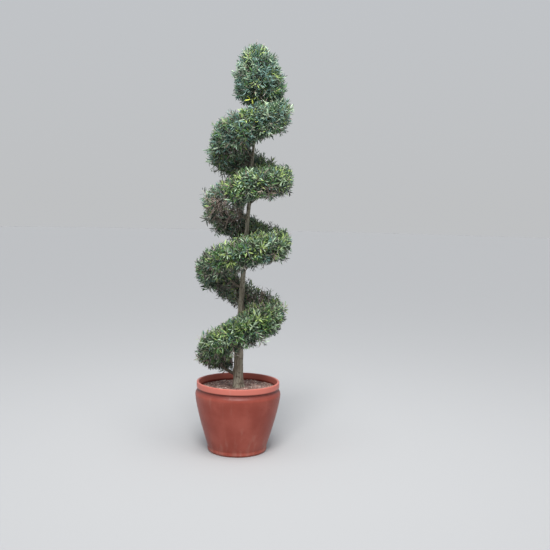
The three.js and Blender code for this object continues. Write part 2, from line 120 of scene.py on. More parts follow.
class Finish:
    """The nodes of a material or the sky. node() adds any node, and paint() ends a material's."""

    def __init__(self, name, family=bpy.data.materials):
        self.owner = family.new(name)
        self.owner.use_nodes = True
        self.tree = self.owner.node_tree
        self.tree.nodes.clear()

    def node(self, kind, settings, inputs):
        """Adds a node of a kind, with its settings first, and then the values or links of its sockets."""
        made = self.tree.nodes.new(kind)
        for name, value in settings.items():
            setattr(made, name, value)
        for name, value in inputs.items():
            if isinstance(value, Value):
                self.tree.links.new(value.socket, made.inputs[name])
            else:
                made.inputs[name].default_value = value
        return Value(self, made.outputs[0]) if made.outputs else None

    def place(self, stretch=(1, 1, 1)):
        """Object coordinates in metres, squeezed along each axis by a number."""
        raw = self.node("ShaderNodeTexCoord", {}, {})["Object"]
        return self.node("ShaderNodeMapping", {}, {"Vector": raw, "Scale": stretch})

    def noise(self, place, scale, detail):
        """Smooth random value about 0.5, with as many features to the metre as the scale says."""
        return self.node("ShaderNodeTexNoise", {}, {"Vector": place, "Scale": scale, "Detail": detail})

    def step(self, value, low, high):
        """0 below low, 1 above high, smooth between them."""
        settings = {"interpolation_type": "SMOOTHSTEP"}
        return self.node("ShaderNodeMapRange", settings, {"Value": value, "From Min": low, "From Max": high})

    def mix(self, share, first, second):
        """First colour where the share is 0, and second where it is 1."""
        inputs = {0: share, 6: colour(first), 7: colour(second)}
        return self.node("ShaderNodeMix", {"data_type": "RGBA"}, inputs)[2]

    def bump(self, height, depth):
        """Normal that a height between 0 and 1 gives, with its real depth in metres."""
        return self.node("ShaderNodeBump", {}, {"Height": height, "Distance": depth})

    def paint(self, base, roughness, **others):
        """Ends the finish with a Principled shader. Other sockets go by their names with _ for a space."""
        inputs = {"Base Color": colour(base), "Roughness": roughness}
        inputs.update({name.replace("_", " "): value for name, value in others.items()})
        shader = self.node("ShaderNodeBsdfPrincipled", {}, inputs)
        self.node("ShaderNodeOutputMaterial", {}, {"Surface": shader})
        return self.owner


def colour(value):
    """A colour of three numbers gets the fourth that a socket asks for. A Value passes as it is."""
    return value if isinstance(value, Value) else (*value, 1.0)


def make_piece(name, points, faces, materials, slots=None, smooth=True):
    """Mesh object at the origin from whole arrays: points, triangles and each triangle's slot."""
    mesh = bpy.data.meshes.new(name)
    mesh.vertices.add(len(points))
    mesh.vertices.foreach_set("co", np.asarray(points, np.float32).ravel())
    mesh.loops.add(faces.size)
    mesh.loops.foreach_set("vertex_index", faces.astype(np.int32).ravel())
    mesh.polygons.add(len(faces))
    mesh.polygons.foreach_set("loop_start", np.arange(0, faces.size, 3, dtype=np.int32))
    if slots is not None:
        mesh.polygons.foreach_set("material_index", slots.astype(np.int32))
    mesh.polygons.foreach_set("use_smooth", np.full(len(faces), smooth))
    mesh.update(calc_edges=True)
    for material in materials:
        mesh.materials.append(material)
    piece = bpy.data.objects.new(name, mesh)
    bpy.context.scene.collection.objects.link(piece)
    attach(piece, "root")
    return piece


def wall_faces(rows, columns):
    """Two triangles to each cell between rings of points that close on themselves, ring by ring."""
    k, i = np.meshgrid(np.arange(rows - 1), np.arange(columns), indexing="ij")
    here = (k * columns + i).ravel()
    beside = (k * columns + (i + 1) % columns).ravel()
    return np.concatenate([
        np.stack([here, beside, beside + columns], 1),
        np.stack([here, beside + columns, here + columns], 1),
    ])


def closed_rings(grid):
    """Points and triangles of a skin over a grid of rings, closed by a point at each end ring's middle."""
    rows, columns = grid.shape[:2]
    edge = np.arange(columns)
    after = (edge + 1) % columns
    last = (rows - 1) * columns
    first_end = np.stack([after, edge, np.full(columns, rows * columns)], 1)
    last_end = np.stack([last + edge, last + after, np.full(columns, rows * columns + 1)], 1)
    points = np.concatenate([grid.reshape(-1, 3), grid[[0, -1]].mean(1)])
    return points, np.concatenate([wall_faces(rows, columns), first_end, last_end])


def unit(vectors):
    """Vectors drawn out to length 1."""
    return vectors / np.maximum(np.linalg.norm(vectors, axis=-1, keepdims=True), 1e-9)


def curved(start, control, end, steps):
    """Points along parabolas that leave each start towards its control point and reach each end from it."""
    t = np.linspace(0, 1, steps)[:, None]
    start, control, end = start[..., None, :], control[..., None, :], end[..., None, :]
    return start * (1 - t) ** 2 + 2 * control * t * (1 - t) + end * t**2


def rounded(corners, steps=6):
    """Outline of (radius, height, round) corners. Each corner is a parabola that starts and ends at its
    round's distance from the corner, on the two straight lines that meet there."""
    corners = np.array(corners, float)
    places, rounds = corners[:, :2], corners[1:-1, 2:]
    bends = places[1:-1]
    starts = bends + unit(places[:-2] - bends) * rounds
    ends = bends + unit(places[2:] - bends) * rounds
    return np.concatenate([places[:1], curved(starts, bends, ends, steps).reshape(-1, 2), places[-1:]])


def turned(outline, columns):
    """Rings of an outline of radius and height turned round +Z, anticlockwise from above."""
    angle = np.linspace(0, 2 * np.pi, columns, endpoint=False)
    radius, height = outline[:, 0, None], outline[:, 1, None]
    return np.stack([radius * np.cos(angle), radius * np.sin(angle), height + 0 * angle], -1)


def wall_radius(height):
    """Radius of the pot's outside: it swells fast above the foot and ever more slowly towards the belly."""
    up = np.clip((height - WALL_FROM) / (BELLY_HEIGHT - WALL_FROM), 0, 1)
    return FOOT_RADIUS + (POT_RADIUS - FOOT_RADIUS) * (1 - (1 - up) ** WALL_EASE)


def pot_outline():
    """From the middle of the underside up the wall and over the rim, then down the inside to the floor."""
    band_foot = POT_HEIGHT - RIM_BAND
    up = np.linspace(FOOT_TOP + 0.012, BELLY_HEIGHT, 14)
    return rounded([
        [POT_POLE, 0, 0],
        [FOOT_RADIUS - 0.001, 0, 0.004],
        [FOOT_RADIUS + FOOT_BEAD, 0.011, 0.005],
        [FOOT_RADIUS + FOOT_BEAD, 0.021, 0.005],
        [wall_radius(FOOT_TOP), FOOT_TOP, 0.003],
        *([wall_radius(z), z, 0.004] for z in up),
        [POT_RADIUS - 0.0035, band_foot - SHOULDER_DROP, 0.006],
        [NECK_RADIUS, band_foot - NECK_DROP, 0.005],
        [NECK_RADIUS, band_foot, 0.001],
        [RIM_RADIUS, band_foot, 0.003],
        [RIM_RADIUS, POT_HEIGHT, 0.005],
        [RIM_RADIUS - RIM_LIP, POT_HEIGHT, 0.004],
        [NECK_RADIUS - POT_WALL, POT_HEIGHT - 0.007, 0.004],
        [NECK_RADIUS - POT_WALL, band_foot - 0.02, 0.004],
        *([wall_radius(z) - POT_WALL, z, 0.004] for z in up[-2::-1]),
        [FOOT_RADIUS - POT_WALL, POT_FLOOR, 0.004],
        [POT_POLE, POT_FLOOR, 0],
    ])


def pot_plastic():
    """Moulded plastic: faded in clouds and a little dusty where water ran down, with painted shade under the
    rim and the rim band painted paler, as if lit from above.
    """
    finish = Finish("terracotta_plastic")
    place = finish.place()
    height = finish.node("ShaderNodeSeparateXYZ", {}, {"Vector": place})["Z"]
    clouds = finish.noise(place, 7.0, 5.0)
    runs = finish.noise(finish.place((34, 34, 2.2)), 1.0, 5.0)
    specks = finish.noise(place, 420.0, 2.0)
    band_foot = POT_HEIGHT - RIM_BAND
    # Painted shade: the neck just under the rim's overhang is darkened.
    in_shade = finish.step(height, band_foot - 0.034, band_foot - 0.02)
    in_shade = in_shade * (1 - finish.step(height, band_foot - 0.004, band_foot))
    foot = 1 - finish.step(height, 0.0, 0.12)
    dust = finish.step(runs + 0.18 * foot, 0.55, 0.85) * 0.16 + finish.step(specks, 0.66, 0.76) * 0.25
    base = finish.mix(finish.step(clouds, 0.35, 0.72), TERRACOTTA, TERRACOTTA_FADED)
    base = finish.mix(in_shade * 0.7, base, TERRACOTTA_PAINTED_SHADE)
    # Painted light: the rim band, and the inside above its foot, are painted paler as if lit from above.
    base = finish.mix(finish.step(height, band_foot - 0.002, band_foot + 0.006) * 0.85, base, TERRACOTTA_RIM_PAINTED_LIGHT)
    base = finish.mix(dust, base, POT_DUST)
    peel = finish.noise(place, 700.0, 2.0) * 0.6 + runs * 0.4
    roughness = 0.34 + 0.35 * dust + 0.12 * clouds
    return finish.paint(base, roughness, Specular_IOR_Level=0.28, Normal=finish.bump(peel, 0.0007))


pot = make_piece("planter_pot", *closed_rings(turned(pot_outline(), POT_COLUMNS)), [pot_plastic()])
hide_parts("planter")

# Soil
# Moist potting soil, pressed down and a little hollow towards the wall, strewn with shreds of bark and small
# stones. The soil is one turned skin with lumps worked into its top.
SOIL_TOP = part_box("soil")[1].z
SOIL_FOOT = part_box("soil")[0].z
SOIL_GAP = 0.0004
SOIL_DIP = 0.008
SOIL_RINGS = 80
SOIL_COLUMNS = 220
LUMPS = [(14, 0.0030), (38, 0.0022), (95, 0.0012)]
SOIL_DARK = (0.21, 0.120, 0.098)
SOIL_PALE = (0.68, 0.45, 0.38)
CHIPS = 1000
CHIP_COLOURS = [(0.52, 0.31, 0.24), (0.13, 0.072, 0.055), (0.80, 0.64, 0.54), (0.32, 0.24, 0.20)]
STONES = 160
STONE_COLOURS = [(0.45, 0.42, 0.38), (0.30, 0.26, 0.23)]
CHIP_LIFT = 0.0006
STREWN_FROM_TO = (0.055, 0.9)


def grain(u, v, cells, seed):
    """Smooth random relief between -1 and 1, which repeats every unit of u and v. Random heights stand on a
    lattice, and a point takes the four round it, weighted by smoothstep."""
    wide, long = cells
    heights = np.random.default_rng(seed).uniform(-1, 1, (wide, long))
    x, y = np.mod(u, 1) * wide, np.mod(v, 1) * long
    i, j = x.astype(int) % wide, y.astype(int) % long
    s, t = x - np.floor(x), y - np.floor(y)
    s, t = s * s * (3 - 2 * s), t * t * (3 - 2 * t)
    beyond, above = (i + 1) % wide, (j + 1) % long
    low = heights[i, j] * (1 - s) + heights[beyond, j] * s
    high = heights[i, above] * (1 - s) + heights[beyond, above] * s
    return low * (1 - t) + high * t


def soil_height(x, y):
    """Top of the soil: a shallow dish with lumps of several sizes, which fade at the wall and the trunk."""
    out = np.hypot(x, y) / NECK_RADIUS
    dish = SOIL_TOP - SOIL_DIP * np.clip(out * 1.25 - 0.25, 0, 1) ** 1.5
    fade = np.clip((out - 0.1) / 0.1, 0, 1) * np.clip((0.985 - out) / 0.06, 0, 1)
    relief = sum(tall * grain(x * 2, y * 2, (cells, cells), cells) for cells, tall in LUMPS)
    return dish + relief * fade


def soil_skin():
    """The fill's turned wall from its foot to the neck, and then rings over the top to the middle."""
    outer = NECK_RADIUS - POT_WALL - SOIL_GAP
    edge = POT_HEIGHT - RIM_BAND - 0.02
    heights = np.linspace(SOIL_FOOT + 0.009, edge, 12)
    radii = np.minimum(wall_radius(heights), POT_RADIUS) - POT_WALL - SOIL_GAP
    radii[-1] = outer
    wall = turned(np.stack([radii, heights], 1), SOIL_COLUMNS)
    foot = turned(np.array([[FOOT_RADIUS - 0.016, SOIL_FOOT]]), SOIL_COLUMNS)
    inwards = np.linspace(1, 0.012, SOIL_RINGS)
    top = turned(np.stack([outer * inwards, 0 * inwards], 1), SOIL_COLUMNS)
    top[..., 2] = soil_height(top[..., 0], top[..., 1])
    return closed_rings(np.concatenate([foot, wall, top]))


def soil_finish():
    """Dark moist crumbs with paler dry ones in patches."""
    finish = Finish("potting_soil")
    place = finish.place()
    crumbs = finish.noise(place, 240.0, 6.0)
    patches = finish.noise(place, 22.0, 3.0)
    dry = finish.step(crumbs * 0.7 + patches * 0.4, 0.5, 0.72)
    relief = crumbs * 0.7 + finish.noise(place, 900.0, 3.0) * 0.3
    return finish.paint(finish.mix(dry, SOIL_DARK, SOIL_PALE), 0.93, Normal=finish.bump(relief, 0.003))


def strewn(drawn, faces, roots, along, facing):
    """Copies of a small shape as whole arrays, each drawn to its size. Its own x runs along, and its z faces
    the facing side as nearly as it can."""
    x = unit(along)
    y = unit(np.cross(facing, x))
    points = roots[:, None] + drawn @ np.stack([x, y, np.cross(x, y)], 1)
    shift = np.arange(len(roots))[:, None, None] * drawn.shape[1]
    return points.reshape(-1, 3), (faces[None] + shift).reshape(-1, 3)


def plain(name, base, roughness, **others):
    """One plain colour, for many small things whose colours are dealt out between them."""
    return Finish(name).paint(base, roughness, **others)


def flat_stone(sides, rng):
    """Closed shape one unit across: an uneven ring, a point below it and a point above."""
    angle = np.arange(sides) / sides * 2 * np.pi
    reach = rng.uniform(0.38, 0.5, sides)
    ring = np.stack([reach * np.cos(angle), reach * np.sin(angle), rng.uniform(-0.2, 0.2, sides)], 1)
    points, faces = closed_rings(ring[None])
    points[-2:] = [-0.05, 0.02, -0.5], [0.06, 0.03, 0.5]
    return points, faces


def strew_soil(name, count, sides, seed, length, shares, colours, roughness):
    """Small flat bodies strewn evenly over the soil, clear of the trunk and the wall. Width and thickness are
    shares of the length."""
    rng = np.random.default_rng(seed)
    shape, faces = flat_stone(sides, rng)
    turn = rng.uniform(0, 2 * np.pi, count)
    along = np.stack([np.cos(turn), np.sin(turn), rng.uniform(-0.25, 0.25, count)], 1)
    facing = rng.normal(0, 0.25, (count, 3)) + [0, 0, 1]
    longest = rng.uniform(*length, count)
    sizes = longest[:, None] * [1, *shares] * rng.uniform(0.7, 1.2, (count, 3))
    out = np.sqrt(rng.uniform(*STREWN_FROM_TO, count)) * NECK_RADIUS
    bearing = rng.uniform(0, 2 * np.pi, count)
    x, y = out * np.cos(bearing), out * np.sin(bearing)
    roots = np.stack([x, y, soil_height(x, y) + CHIP_LIFT], 1)
    points, triangles = strewn(shape * sizes[:, None], faces, roots, along, facing)
    slots = np.repeat(rng.integers(0, len(colours), count), len(faces))
    finishes = [plain(f"{name}_{k}", shade, roughness) for k, shade in enumerate(colours)]
    piece = make_piece(name, points, triangles, finishes, slots, smooth=False)


soil = make_piece("soil_fill", *soil_skin(), [soil_finish()])
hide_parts("soil")
strew_soil("soil_bark_chips", CHIPS, 5, 11, (0.009, 0.027), (0.42, 0.2), CHIP_COLOURS, 0.85)
strew_soil("soil_stones", STONES, 7, 12, (0.005, 0.011), (0.8, 0.6), STONE_COLOURS, 0.7)

# Trunk
# One leaning trunk that tapers from a low root flare to a thin tip inside the top. Olive bark: smooth and
# grey-beige with fine long furrows, a collar where each bough leaves, and the round scars of cut-off shoots.
TRUNK_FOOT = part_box("trunk")[0].z
TRUNK_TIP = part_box("trunk")[1].z
LEAN = 0.08
LEAN_FROM = 0.52
LEAN_TO = 2.3
SWAY = 0.006
SWAY_LENGTH = 1.5
ROOT_FLARE = 0.01
FLARE_HEIGHT = 0.034
ROOT_LOBES = 0.06
ROOT_COUNT = 3
GIRTH_HEIGHTS = [0.39, 0.59, 0.85, 1.08, 1.35, 1.8, TRUNK_TIP]
GIRTH_RADII = [0.03, 0.0275, 0.0175, 0.015, 0.0125, 0.0085, 0.004]
TRUNK_ROWS = 560
TRUNK_COLUMNS = 60
FURROW_DEPTH = 0.05
COLLAR = 0.25
COLLAR_WIDTH = 0.012
COLLAR_HEIGHT = 0.02
SCARS = 46
SCAR_MARGINS = (0.05, 0.25)
SCAR_REACH = 0.0075
SCAR_RIDGE = 0.0009
BARK_PALE = (0.37, 0.345, 0.265)
BARK_MIDDLE = (0.225, 0.195, 0.145)
BARK_DARK = (0.095, 0.074, 0.054)
BARK_LICHEN = (0.34, 0.37, 0.28)

# The band of foliage round the trunk. Turns are counted from +X, anticlockwise seen from above
BAND_TURNS = [0.35, *np.arange(0.5, 4.1, 0.25), 4.33]
BAND_HEIGHTS = [0.553, 0.603, 0.723, 0.835, 0.966, 1.113, 1.19, 1.262, 1.363]
BAND_HEIGHTS += [1.494, 1.584, 1.643, 1.746, 1.843, 1.941, 2.037, 2.142]
BAND_REACHES = [0.248, 0.258, 0.262, 0.27, 0.278, 0.3, 0.292, 0.281, 0.28]
BAND_REACHES += [0.282, 0.267, 0.254, 0.264, 0.274, 0.246, 0.212, 0.19]
BAND_HALVES = [0.091, 0.103, 0.122, 0.106, 0.1, 0.105, 0.108, 0.096, 0.105]
BAND_HALVES += [0.122, 0.1, 0.095, 0.118, 0.133, 0.13, 0.106, 0.086]
FRONT_LIFT = 0.028
BAND_CLEAR_OF_TRUNK = 0.007
BAND_MASSES = 15
END_ROUNDING = 0.12
END_SIZE = 0.4
SECTION_POWER = 2.5
BOUGH_REACH = 0.052
BOUGH_RISE = 0.7
BOUGH_BEND = (0.62, 0.38)
BOUGH_ENTRY = 0.93
BOUGH_ROOT = 0.008
BOUGH_END = 0.005
BOUGH_ON_TRUNK = 0.014


def trunk_middle(height):
    """Middle line of the trunk: a smooth lean to +X between two heights, and a slow sway in Y."""
    share = np.clip((height - LEAN_FROM) / (LEAN_TO - LEAN_FROM), 0, 1)
    x = LEAN * share * share * (3 - 2 * share)
    y = SWAY * np.sin((height - TRUNK_FOOT) / SWAY_LENGTH * 2 * np.pi)
    return np.stack([x, y, height + 0 * x], -1)


def trunk_radius(height):
    """Girth between the measured heights, with a flare that dies away above the foot."""
    flare = ROOT_FLARE * np.exp(-(height - TRUNK_FOOT) / FLARE_HEIGHT)
    return np.interp(height, GIRTH_HEIGHTS, GIRTH_RADII) + flare


def radial(turn):
    """Level direction away from the trunk at a turn."""
    angle = np.asarray(turn) * 2 * np.pi
    return np.stack([np.cos(angle), np.sin(angle), 0 * angle], -1)


def round_trunk(turn, distance, height):
    """Point at a turn, a distance from the trunk's middle line and a height."""
    return trunk_middle(height) + radial(turn) * np.asarray(distance)[..., None]


def band_at(turn):
    """The band at a turn: its middle height, half thickness, half width and the radius where it starts. It
    draws in towards its two ends as a quarter circle does."""
    from_end = np.minimum(turn - BAND_TURNS[0], BAND_TURNS[-1] - turn) / END_ROUNDING
    bare = 1 - np.clip(from_end, 0, 1)
    fullness = END_SIZE + (1 - END_SIZE) * np.sqrt(1 - bare * bare)
    height = np.interp(turn, BAND_TURNS, BAND_HEIGHTS) - FRONT_LIFT * np.sin(turn * 2 * np.pi)
    inner = trunk_radius(height) + BAND_CLEAR_OF_TRUNK
    wide = (np.interp(turn, BAND_TURNS, BAND_REACHES) - inner) / 2 * fullness
    return height, np.interp(turn, BAND_TURNS, BAND_HALVES) * fullness, wide, inner


def bough_course(turn):
    """Root, bend and end of the bough at a turn: it leaves the trunk below its mass and bends out into it."""
    height, half, _, _ = band_at(turn)
    lowest = height - half * BOUGH_ENTRY
    side = trunk_radius(lowest)
    root = round_trunk(turn, 0 * turn, lowest - BOUGH_REACH * BOUGH_RISE)
    bend = round_trunk(turn, side + BOUGH_REACH * BOUGH_BEND[0], lowest - BOUGH_REACH * BOUGH_BEND[1])
    end = round_trunk(turn, side + BOUGH_REACH, lowest)
    return root, bend, end


def bark_relief(turn, height, coarse):
    """Furrows as a share of the radius, from -1 in a crack to 1 on a ridge. Long narrow cells wind a little
    round the limb, and folding the relief at its middle makes sharp cracks."""
    wound = turn + height * 0.35
    furrows = grain(wound, height * 1.7, (coarse, 14), 21) * 0.6
    furrows = furrows + grain(wound, height * 3.1, (coarse * 2, 30), 22) * 0.4
    cracks = 1 - np.abs(grain(wound, height * 2.3, (coarse, 12), 23)) * 2
    return np.clip(furrows * 0.7 - np.clip(cracks, 0, 1) ** 4 * 0.9, -1, 1)


def bark_finish(name, lit_share):
    """Grey-beige bark, dark down in the cracks and brown in the hollows, with pale patches of lichen. Bark
    with a lit share below 1 is painted darker all over, as painted shade for boughs deep in the foliage."""
    finish = Finish(name)
    place = finish.place()
    relief = finish.node("ShaderNodeAttribute", {"attribute_name": "relief"}, {})["Fac"]
    streaks = finish.noise(finish.place((90, 90, 9)), 1.0, 5.0)
    patches = finish.noise(place, 16.0, 4.0)
    fine = finish.noise(finish.place((420, 420, 70)), 1.0, 4.0)
    base = finish.mix(finish.step(streaks + relief * 0.22, 0.36, 0.64), BARK_MIDDLE, BARK_PALE)
    base = finish.mix(finish.step(patches, 0.60, 0.74) * 0.5, base, BARK_LICHEN)
    cracks = 1 - finish.step(relief + streaks * 0.4, -0.75, 0.0)
    # Painted shade: the share not lit goes wholly to dark bark, on top of the darker cracks.
    base = finish.mix(cracks * 0.8 * lit_share + (1 - lit_share), base, BARK_DARK)
    return finish.paint(base, 0.78 + 0.15 * fine, Normal=finish.bump(fine * 0.5 + streaks * 0.5, 0.0014))


def add_relief(piece, relief):
    """Keeps each point's relief on the mesh, for the bark's finish to read."""
    kept = piece.data.attributes.new("relief", "FLOAT", "POINT")
    kept.data.foreach_set("value", relief.astype(np.float32).ravel())


cuts = np.linspace(BAND_TURNS[0], BAND_TURNS[-1], BAND_MASSES + 1)
bough_turns = (cuts[:-1] + cuts[1:]) / 2
bough_roots, bough_bends, bough_ends = bough_course(bough_turns)


def trunk_skin():
    """The trunk's rings with their flare and furrows. Each cut shoot left a scar, a ringed bell curve with a
    pit inside it, and each bough has a collar at its root, a bell curve both ways."""
    heights = TRUNK_FOOT + (TRUNK_TIP - TRUNK_FOOT) * np.linspace(0, 1, TRUNK_ROWS) ** 1.04
    height, turn = np.meshgrid(heights, np.arange(TRUNK_COLUMNS) / TRUNK_COLUMNS, indexing="ij")
    radius = trunk_radius(height)
    flare = np.exp(-(height - TRUNK_FOOT) / FLARE_HEIGHT)
    relief = bark_relief(turn, height, 16)
    lobes = 1 + ROOT_LOBES * flare * np.cos(ROOT_COUNT * turn * 2 * np.pi)
    surface = radius * (lobes + FURROW_DEPTH * relief)

    def beside(place):
        return (np.mod(turn - place + 0.5, 1) - 0.5) * 2 * np.pi * radius

    rng = np.random.default_rng(31)
    scar_turns = rng.uniform(0, 1, SCARS)
    lowest, highest = TRUNK_FOOT + SCAR_MARGINS[0], TRUNK_TIP - SCAR_MARGINS[1]
    for place, z in zip(scar_turns, np.sort(rng.uniform(lowest, highest, SCARS))):
        out = np.hypot(beside(place), (height - z) * 0.8) / (SCAR_REACH * rng.uniform(0.7, 1.3))
        surface += SCAR_RIDGE * (np.exp(-((out - 1) ** 2) * 7) - 0.7 * np.exp(-(out**2) * 3))
        relief -= 0.35 * np.exp(-(out**2) * 2)
    for place, root in zip(bough_turns, bough_roots):
        z = root[2] + np.interp(root[2], GIRTH_HEIGHTS, GIRTH_RADII) * 0.7
        near = (beside(place) / COLLAR_WIDTH) ** 2 + ((height - z) / COLLAR_HEIGHT) ** 2
        surface += radius * COLLAR * np.exp(-near)
    surface[-1] *= 0.5
    return round_trunk(turn, surface, height), relief


trunk_grid, trunk_relief = trunk_skin()
trunk = make_piece("trunk_bark", *closed_rings(trunk_grid), [bark_finish("trunk_bark", 1.0)])
add_relief(trunk, np.concatenate([trunk_relief.ravel(), [0, 0]]))
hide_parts("trunk")

# Boughs
# One tapering bough to each stretch of the band. It leaves the trunk at a collar, bends out, and runs on
# inside the foliage to the middle of its mass. Same bark as the trunk, with finer furrows, painted darker
# all over as shade.
BOUGH_ROWS = 40
BOUGH_COLUMNS = 14
BOUGH_FURROWS = 0.09
BOUGH_RUN = 0.05
FORK_GIRTH = 0.0034
STEEP = 0.9


def square_to(heading, steep):
    """Two directions square to a heading and to each other. The first is level unless that is steep."""
    side = unit(np.cross(heading, np.where(steep, [1.0, 0.0, 0.0], [0.0, 0.0, 1.0])))
    return side, np.cross(heading, side)


def rods(lines, radii, sides):
    """Tapering rods along lines of points, as whole arrays: a ring of so many sides square to the line at
    each of its points, and flat ends. Radii are given for every point, or for every ring's corners."""
    heading = unit(np.gradient(lines, axis=1))
    side, other = square_to(heading, np.abs(heading[:, :1, 2:]) > STEEP)
    angle = np.arange(sides) / sides * 2 * np.pi
    spoke = side[:, :, None] * np.cos(angle)[:, None] + other[:, :, None] * np.sin(angle)[:, None]
    grown = radii if radii.ndim == 3 else radii[..., None]
    points = lines[:, :, None] + spoke * grown[..., None]
    count, steps = lines.shape[:2]
    fan = np.arange(1, sides - 1)
    last = (steps - 1) * sides
    faces = np.concatenate([
        wall_faces(steps, sides),
        np.stack([0 * fan, fan + 1, fan], 1),
        np.stack([last + 0 * fan, last + fan, last + fan + 1], 1),
    ])
    shift = np.arange(count)[:, None, None] * steps * sides
    return points.reshape(-1, 3), (faces[None] + shift).reshape(-1, 3)


band_height, _, band_wide, band_inner = band_at(bough_turns)
forks = round_trunk(bough_turns, band_inner + band_wide, band_height)
bough_headings = unit(bough_ends - bough_bends)
bough_girths = np.sqrt(trunk_radius(bough_roots[:, 2]) / BOUGH_ON_TRUNK)
outside_part = curved(bough_roots, bough_bends, bough_ends, BOUGH_ROWS // 2)
inside_part = curved(bough_ends, bough_ends + bough_headings * BOUGH_RUN, forks, BOUGH_ROWS // 2 + 1)
bough_lines = np.concatenate([outside_part, inside_part[:, 1:]], 1)
bough_taper = np.interp(np.linspace(0, 1, BOUGH_ROWS), [0, 0.5, 1], [BOUGH_ROOT, BOUGH_END, FORK_GIRTH])
corner_turns = np.arange(BOUGH_COLUMNS) / BOUGH_COLUMNS
along_boughs = np.linspace(0, 0.13, BOUGH_ROWS)[None, :, None] + bough_turns[:, None, None]
bough_relief = bark_relief(corner_turns, along_boughs, 8)
bough_radii = np.outer(bough_girths, bough_taper)[..., None] * (1 + BOUGH_FURROWS * bough_relief)
bough_skin = rods(bough_lines, bough_radii, BOUGH_COLUMNS)
# The boughs' bark is painted darker all over, as shade inside the foliage.
boughs = make_piece("boughs_bark", *bough_skin, [bark_finish("bough_bark_painted_shade", 0.3)])
add_relief(boughs, bough_relief)
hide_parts(*[f"bough_{n + 1:02d}" for n in range(BAND_MASSES)])

# Foliage of the band
# Fifteen clipped masses, each grown from its own bough: limbs fork from the bough, branchlets from the limbs
# and leafy shoots from the branchlets, spread over the skin by the golden ratio. Olive leaves stand in pairs,
# every pair square to the last: narrow, leathery, green above and silvery below.
GOLDEN_RATIO = (1 + math.sqrt(5)) / 2
BAND_COUNTS = (8, 72, 525)
BAND_SPREAD = 2.45
BAND_CROWDING = 0.30
LIMB_INSET = 0.095
BRANCHLET_INSET = 0.066
SHOOT_INSET = 0.024
SHOOT_UNEVEN = (-0.007, 0.010)
SHOOT_SCATTER = 0.012
DEEP_SHOOTS = 0.30
DEEP_INSET = 0.062
# Share of deep shoots given the deep green of painted shade
DEEP_TONED = 0.6
STRAYS = 0.10
STRAY_REACH = (0.012, 0.034)
STRAY_SLACK = 0.24
EDGE_SLACK = (0.035, 0.09)
CUT_SHORT = 0.72
SWELL = 0.010
ROOM = 0.013
MEET = 0.016
PAST_END = 12
BEHIND = 0.02
LIMB_GIRTH = (0.0042, 0.0022)
BRANCHLET_GIRTH = (0.0023, 0.0013)
SHOOT_GIRTH = (0.0013, 0.0007)
TWIG_COLOURS = [(0.28, 0.215, 0.18), (0.50, 0.39, 0.335)]

# Leaves up a shoot, from its tip down. Lean is the angle from the shoot
LEAF_PAIRS = 6
FIRST_PAIR = 0.002
PAIR_STEP = 0.0095
PAIR_LEANS = [0.45, 0.78, 1.20]
PAIR_SIZES = [0.66, 0.88, 1.0, 0.95]
BEARING_SLACK = 0.16
LEAN_SLACK = 0.17
FACING_SLACK = 0.38
LEAF_LENGTH = 0.043
LEAF_WIDTH = 0.0037
LEAF_RIDGE = 0.001
LEAF_DROOP = (-0.02, 0.14)
LEAF_CLEAR_OF_TRUNK = 0.004
LEAF_SKY = (0, 0, 0.55)
BORROWED_TONES = 0.25
DRY_SIZE = 0.62

# One leaf, a unit long and nearly as much to each side: the outline from its base, and its upper ridge
LEAF_SHAPE = [(0, 0, 0), (0.3, 0.84, 0), (0.66, 0.9, 0), (1, 0, 0), (0.66, -0.9, 0), (0.3, -0.84, 0)]
LEAF_SHAPE = np.array(LEAF_SHAPE + [(0.3, 0, 1), (0.66, 0, 1)])
LEAF_UPPER = [(0, 6, 1), (1, 6, 7), (1, 7, 2), (2, 7, 3), (0, 5, 6), (5, 7, 6), (5, 4, 7), (4, 3, 7)]
LEAF_UNDER = [(0, 1, 5), (1, 2, 5), (2, 4, 5), (2, 3, 4)]
LEAF_FACES = np.array(LEAF_UPPER + LEAF_UNDER)

# Each tone: the colours of the upper and the under face, and its weight. That is its start times e to the
# power of its three rates times how far a place faces up, how far it is towards +X, and how high it stands.
# The rates paint light and shade: young yellow-green gathers on faces turned up and to +X, partly new growth
# and partly painted sunlight; blue gathers high up as a painted sky reflection; deep and dull gather on faces
# turned down, deep also low down, as painted shade
CROWN_REACH = 0.28
CROWN_FOOT = 0.5
CROWN_HEIGHT = 1.9
LEAF_TONES = {
    "young": ((0.32, 0.43, 0.13), "pale", 0.110, (1.0, 0.3, -0.4)),
    "green": ((0.085, 0.180, 0.055), "silver", 0.36, (0.0, 0.0, -0.4)),
    "blue": ((0.112, 0.205, 0.172), "silver", 0.03, (0.0, -0.3, 3.7)),
    "grey": ((0.34, 0.45, 0.29), "silver", 0.105, (0.3, 0.0, 0.95)),
    "deep": ((0.024, 0.045, 0.026), "dusky", 0.43, (-1.0, 0.2, -0.8)),
    "dull": ((0.19, 0.145, 0.120), "dusky", 0.035, (-1.3, 0.0, 0.0)),
    "dry": ((0.40, 0.31, 0.25), "straw", 0.0, (0.0, 0.0, 0.0)),
    "yellowed": ((0.74, 0.82, 0.14), "pale", 0.0, (0.0, 0.0, 0.0)),
}
# The dusky under face goes with the deep and dull tones, as painted shade
UNDER_COLOURS = {
    "silver": (0.27, 0.39, 0.27),
    "pale": (0.36, 0.47, 0.23),
    "dusky": (0.23, 0.21, 0.185),
    "straw": (0.54, 0.46, 0.39),
}
TONES = list(LEAF_TONES)
UNDER_TONES = np.array([len(TONES) + list(UNDER_COLOURS).index(tone[1]) for tone in LEAF_TONES.values()])

